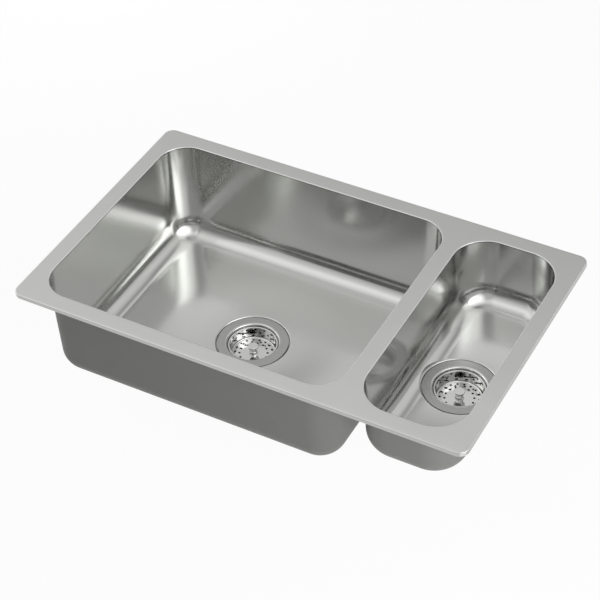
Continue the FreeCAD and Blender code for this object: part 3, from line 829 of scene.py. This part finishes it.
def makeStage():
    pickNothing()
    bpy.ops.mesh.primitive_plane_add(size=stage["floorSize"], location=(0, 0, stage["floorZ"]))
    floor = bpy.context.object
    floor.name = "floor"
    material, shader = newMaterial("paleFloor", stage["floorColor"], 0, 0.9)
    tree = material.node_tree
    white = tree.nodes.new("ShaderNodeEmission")
    white.inputs["Color"].default_value = (1, 1, 1, 1)
    share = newMath(tree, "MULTIPLY")
    share.inputs[1].default_value = stage["white"]
    mix = tree.nodes.new("ShaderNodeMixShader")
    link(tree, seenRays(tree), 0, share, 0)
    link(tree, share, 0, mix, 0)
    link(tree, shader, "BSDF", mix, 1)
    link(tree, white, "Emission", mix, 2)
    # the underside of the floor is clear, so that the sink can be seen from below
    sides = tree.nodes.new("ShaderNodeNewGeometry")
    clear = tree.nodes.new("ShaderNodeBsdfTransparent")
    below = tree.nodes.new("ShaderNodeMixShader")
    link(tree, sides, "Backfacing", below, 0)
    link(tree, mix, "Shader", below, 1)
    link(tree, clear, "BSDF", below, 2)
    link(tree, below, "Shader", tree.nodes["Material Output"], "Surface")
    floor.data.materials.append(material)


# the studio round the sink: white at the horizon, grey above, with soft panels given by where they stand
studio = {"horizon": 1.0, "walls": 0.22, "lowEdge": 0.03, "highEdge": 0.11, "room": 0.17, "noRise": (-2, -1)}
panels = {
    "rightSide": {"at": (0.86, -0.04, 0.51), "inner": 4, "outer": 30, "light": 1.5, "rise": (0.32, 0.46)},
    "rightHigh": {"at": (0.72, -0.14, 0.68), "inner": 6, "outer": 43, "light": 1.55, "rise": (0.32, 0.46)},
    "leftSide": {"at": (-0.77, -0.40, 0.50), "inner": 16, "outer": 50, "light": 0.74},
    "overhead": {"at": (-0.20, -0.20, 0.96), "inner": 10, "outer": 34, "light": 0.42},
    "front": {"at": (0.16, -0.62, 0.77), "inner": 12, "outer": 36, "light": 0.42},
    "back": {"at": (-0.25, 0.47, 0.85), "inner": 6, "outer": 25, "light": 0.72},
    "backLeft": {"at": (-0.81, 0.50, 0.31), "inner": 8, "outer": 32, "light": 0.70},
    "backRight": {"at": (0.46, 0.75, 0.47), "inner": 10, "outer": 34, "light": 0.62},
}


def makePanel():
    # round panel with a soft edge, seen from the middle of the studio
    numbers = ("Outer", "Inner", "Light", "Dark Below", "Full Above")
    group, entry, leave = newGroup("softPanel", ("Place", "At"), numbers, ("Added",))
    turn = newMath(group, "DOT_PRODUCT", "ShaderNodeVectorMath")
    edge = group.nodes.new("ShaderNodeMapRange")
    edge.interpolation_type = "SMOOTHSTEP"
    link(group, entry, "Place", turn, 0)
    link(group, entry, "At", turn, 1)
    link(group, turn, "Value", edge, "Value")
    link(group, entry, "Outer", edge, "From Min")
    link(group, entry, "Inner", edge, "From Max")
    link(group, entry, "Light", edge, "To Max")
    # a panel on a stand ends above the horizon
    height = group.nodes.new("ShaderNodeSeparateXYZ")
    rise = group.nodes.new("ShaderNodeMapRange")
    rise.interpolation_type = "SMOOTHSTEP"
    both = newMath(group, "MULTIPLY")
    link(group, entry, "Place", height, 0)
    link(group, height, "Z", rise, "Value")
    link(group, entry, "Dark Below", rise, "From Min")
    link(group, entry, "Full Above", rise, "From Max")
    link(group, edge, "Result", both, 0)
    link(group, rise, "Result", both, 1)
    link(group, both, 0, leave, "Added")
    return group


def makeWorld():
    world = bpy.data.worlds.new("studio")
    bpy.context.scene.world = world
    world.use_nodes = True
    tree = world.node_tree
    shown = tree.nodes["Background"]
    place = tree.nodes.new("ShaderNodeTexCoord")
    height = tree.nodes.new("ShaderNodeSeparateXYZ")
    tone = tree.nodes.new("ShaderNodeMapRange")
    tone.interpolation_type = "SMOOTHSTEP"
    tone.inputs["From Min"].default_value = studio["lowEdge"]
    tone.inputs["From Max"].default_value = studio["highEdge"]
    tone.inputs["To Min"].default_value = studio["horizon"]
    tone.inputs["To Max"].default_value = studio["walls"]
    link(tree, place, "Generated", height, 0)
    link(tree, height, "Z", tone, "Value")
    total = tone.outputs["Result"]
    softPanel = makePanel()
    for name, panel in panels.items():
        item = tree.nodes.new("ShaderNodeGroup")
        item.node_tree = softPanel
        item.name = name
        item.inputs["At"].default_value = Vector(panel["at"]).normalized()
        item.inputs["Outer"].default_value = math.cos(math.radians(panel["outer"]))
        item.inputs["Inner"].default_value = math.cos(math.radians(panel["inner"]))
        item.inputs["Light"].default_value = panel["light"]
        rise = panel.get("rise", studio["noRise"])
        item.inputs["Dark Below"].default_value, item.inputs["Full Above"].default_value = rise
        add = tree.nodes.new("ShaderNodeMath")
        link(tree, place, "Generated", item, "Place")
        tree.links.new(total, add.inputs[0])
        link(tree, item, "Added", add, 1)
        total = add.outputs["Value"]
    tree.links.new(total, shown.inputs["Strength"])
    room = tree.nodes.new("ShaderNodeBackground")
    room.inputs["Strength"].default_value = studio["room"]
    mix = tree.nodes.new("ShaderNodeMixShader")
    link(tree, seenRays(tree), 0, mix, 0)
    link(tree, room, "Background", mix, 1)
    link(tree, shown, "Background", mix, 2)
    # the camera itself sees plain white all round
    path = tree.nodes.new("ShaderNodeLightPath")
    white = tree.nodes.new("ShaderNodeBackground")
    plain = tree.nodes.new("ShaderNodeMixShader")
    link(tree, path, "Is Camera Ray", plain, 0)
    link(tree, mix, "Shader", plain, 1)
    link(tree, white, "Background", plain, 2)
    for ground in (shown, room, white):
        ground.inputs["Color"].default_value = (1, 1, 1, 1)
    link(tree, plain, "Shader", tree.nodes["World Output"], "Surface")


lamps = {
    "keyLamp": {"at": (1.75, -0.55, 1.1), "aim": (0, 0, -0.05), "size": (1.5, 1.3), "power": 8.3},
    "sideLamp": {"at": (0.95, -0.85, 0.3), "aim": (0, 0, -0.1), "size": (0.8, 0.6), "power": 8.2},
    "backLamp": {"at": (-1.1, 1.0, 0.35), "aim": (0, 0, -0.1), "size": (0.8, 0.6), "power": 7},
}


def makeLamps():
    for name, lamp in lamps.items():
        data = bpy.data.lights.new(name, "AREA")
        data.shape = "RECTANGLE"
        data.size, data.size_y = lamp["size"]
        data.energy = lamp["power"]
        item = bpy.data.objects.new(name, data)
        bpy.context.scene.collection.objects.link(item)
        item.location = lamp["at"]
        item.rotation_euler = (Vector(lamp["aim"]) - Vector(lamp["at"])).to_track_quat("-Z", "Y").to_euler()
        item.visible_camera = False
        item.visible_glossy = False


view = {"azimuth": 28.816, "elevation": 41.909, "roll": -1.58, "focal": 1844.8, "aim": (0.0448, -0.0255, 0.007),
        "away": 2.7631, "middle": (320.0, 293.61), "frame": 600}


def makeCamera():
    az, el, roll = (math.radians(view[key]) for key in ("azimuth", "elevation", "roll"))
    back = Vector((math.sin(az) * math.cos(el), -math.cos(az) * math.cos(el), math.sin(el)))
    right = Vector((math.cos(az), math.sin(az), 0))
    up = back.cross(right)
    across = right * math.cos(roll) + up * math.sin(roll)
    upward = up * math.cos(roll) - right * math.sin(roll)
    data = bpy.data.cameras.new("camera")
    data.sensor_width = 36
    data.lens = view["focal"] / view["frame"] * data.sensor_width
    data.shift_x = (view["frame"] / 2 - view["middle"][0] - 0.5) / view["frame"]
    data.shift_y = (view["middle"][1] + 0.5 - view["frame"] / 2) / view["frame"]
    data.clip_end = 100
    camera = bpy.data.objects.new("camera", data)
    bpy.context.scene.collection.objects.link(camera)
    spot = Vector(view["aim"]) + back * view["away"]
    camera.matrix_world = Matrix.Translation(spot) @ Matrix((across, upward, back)).transposed().to_4x4()
    bpy.context.scene.camera = camera


makeStage()
makeWorld()
makeLamps()
makeCamera()
bpy.context.scene.view_settings.view_transform = "Standard"
print("stage made")
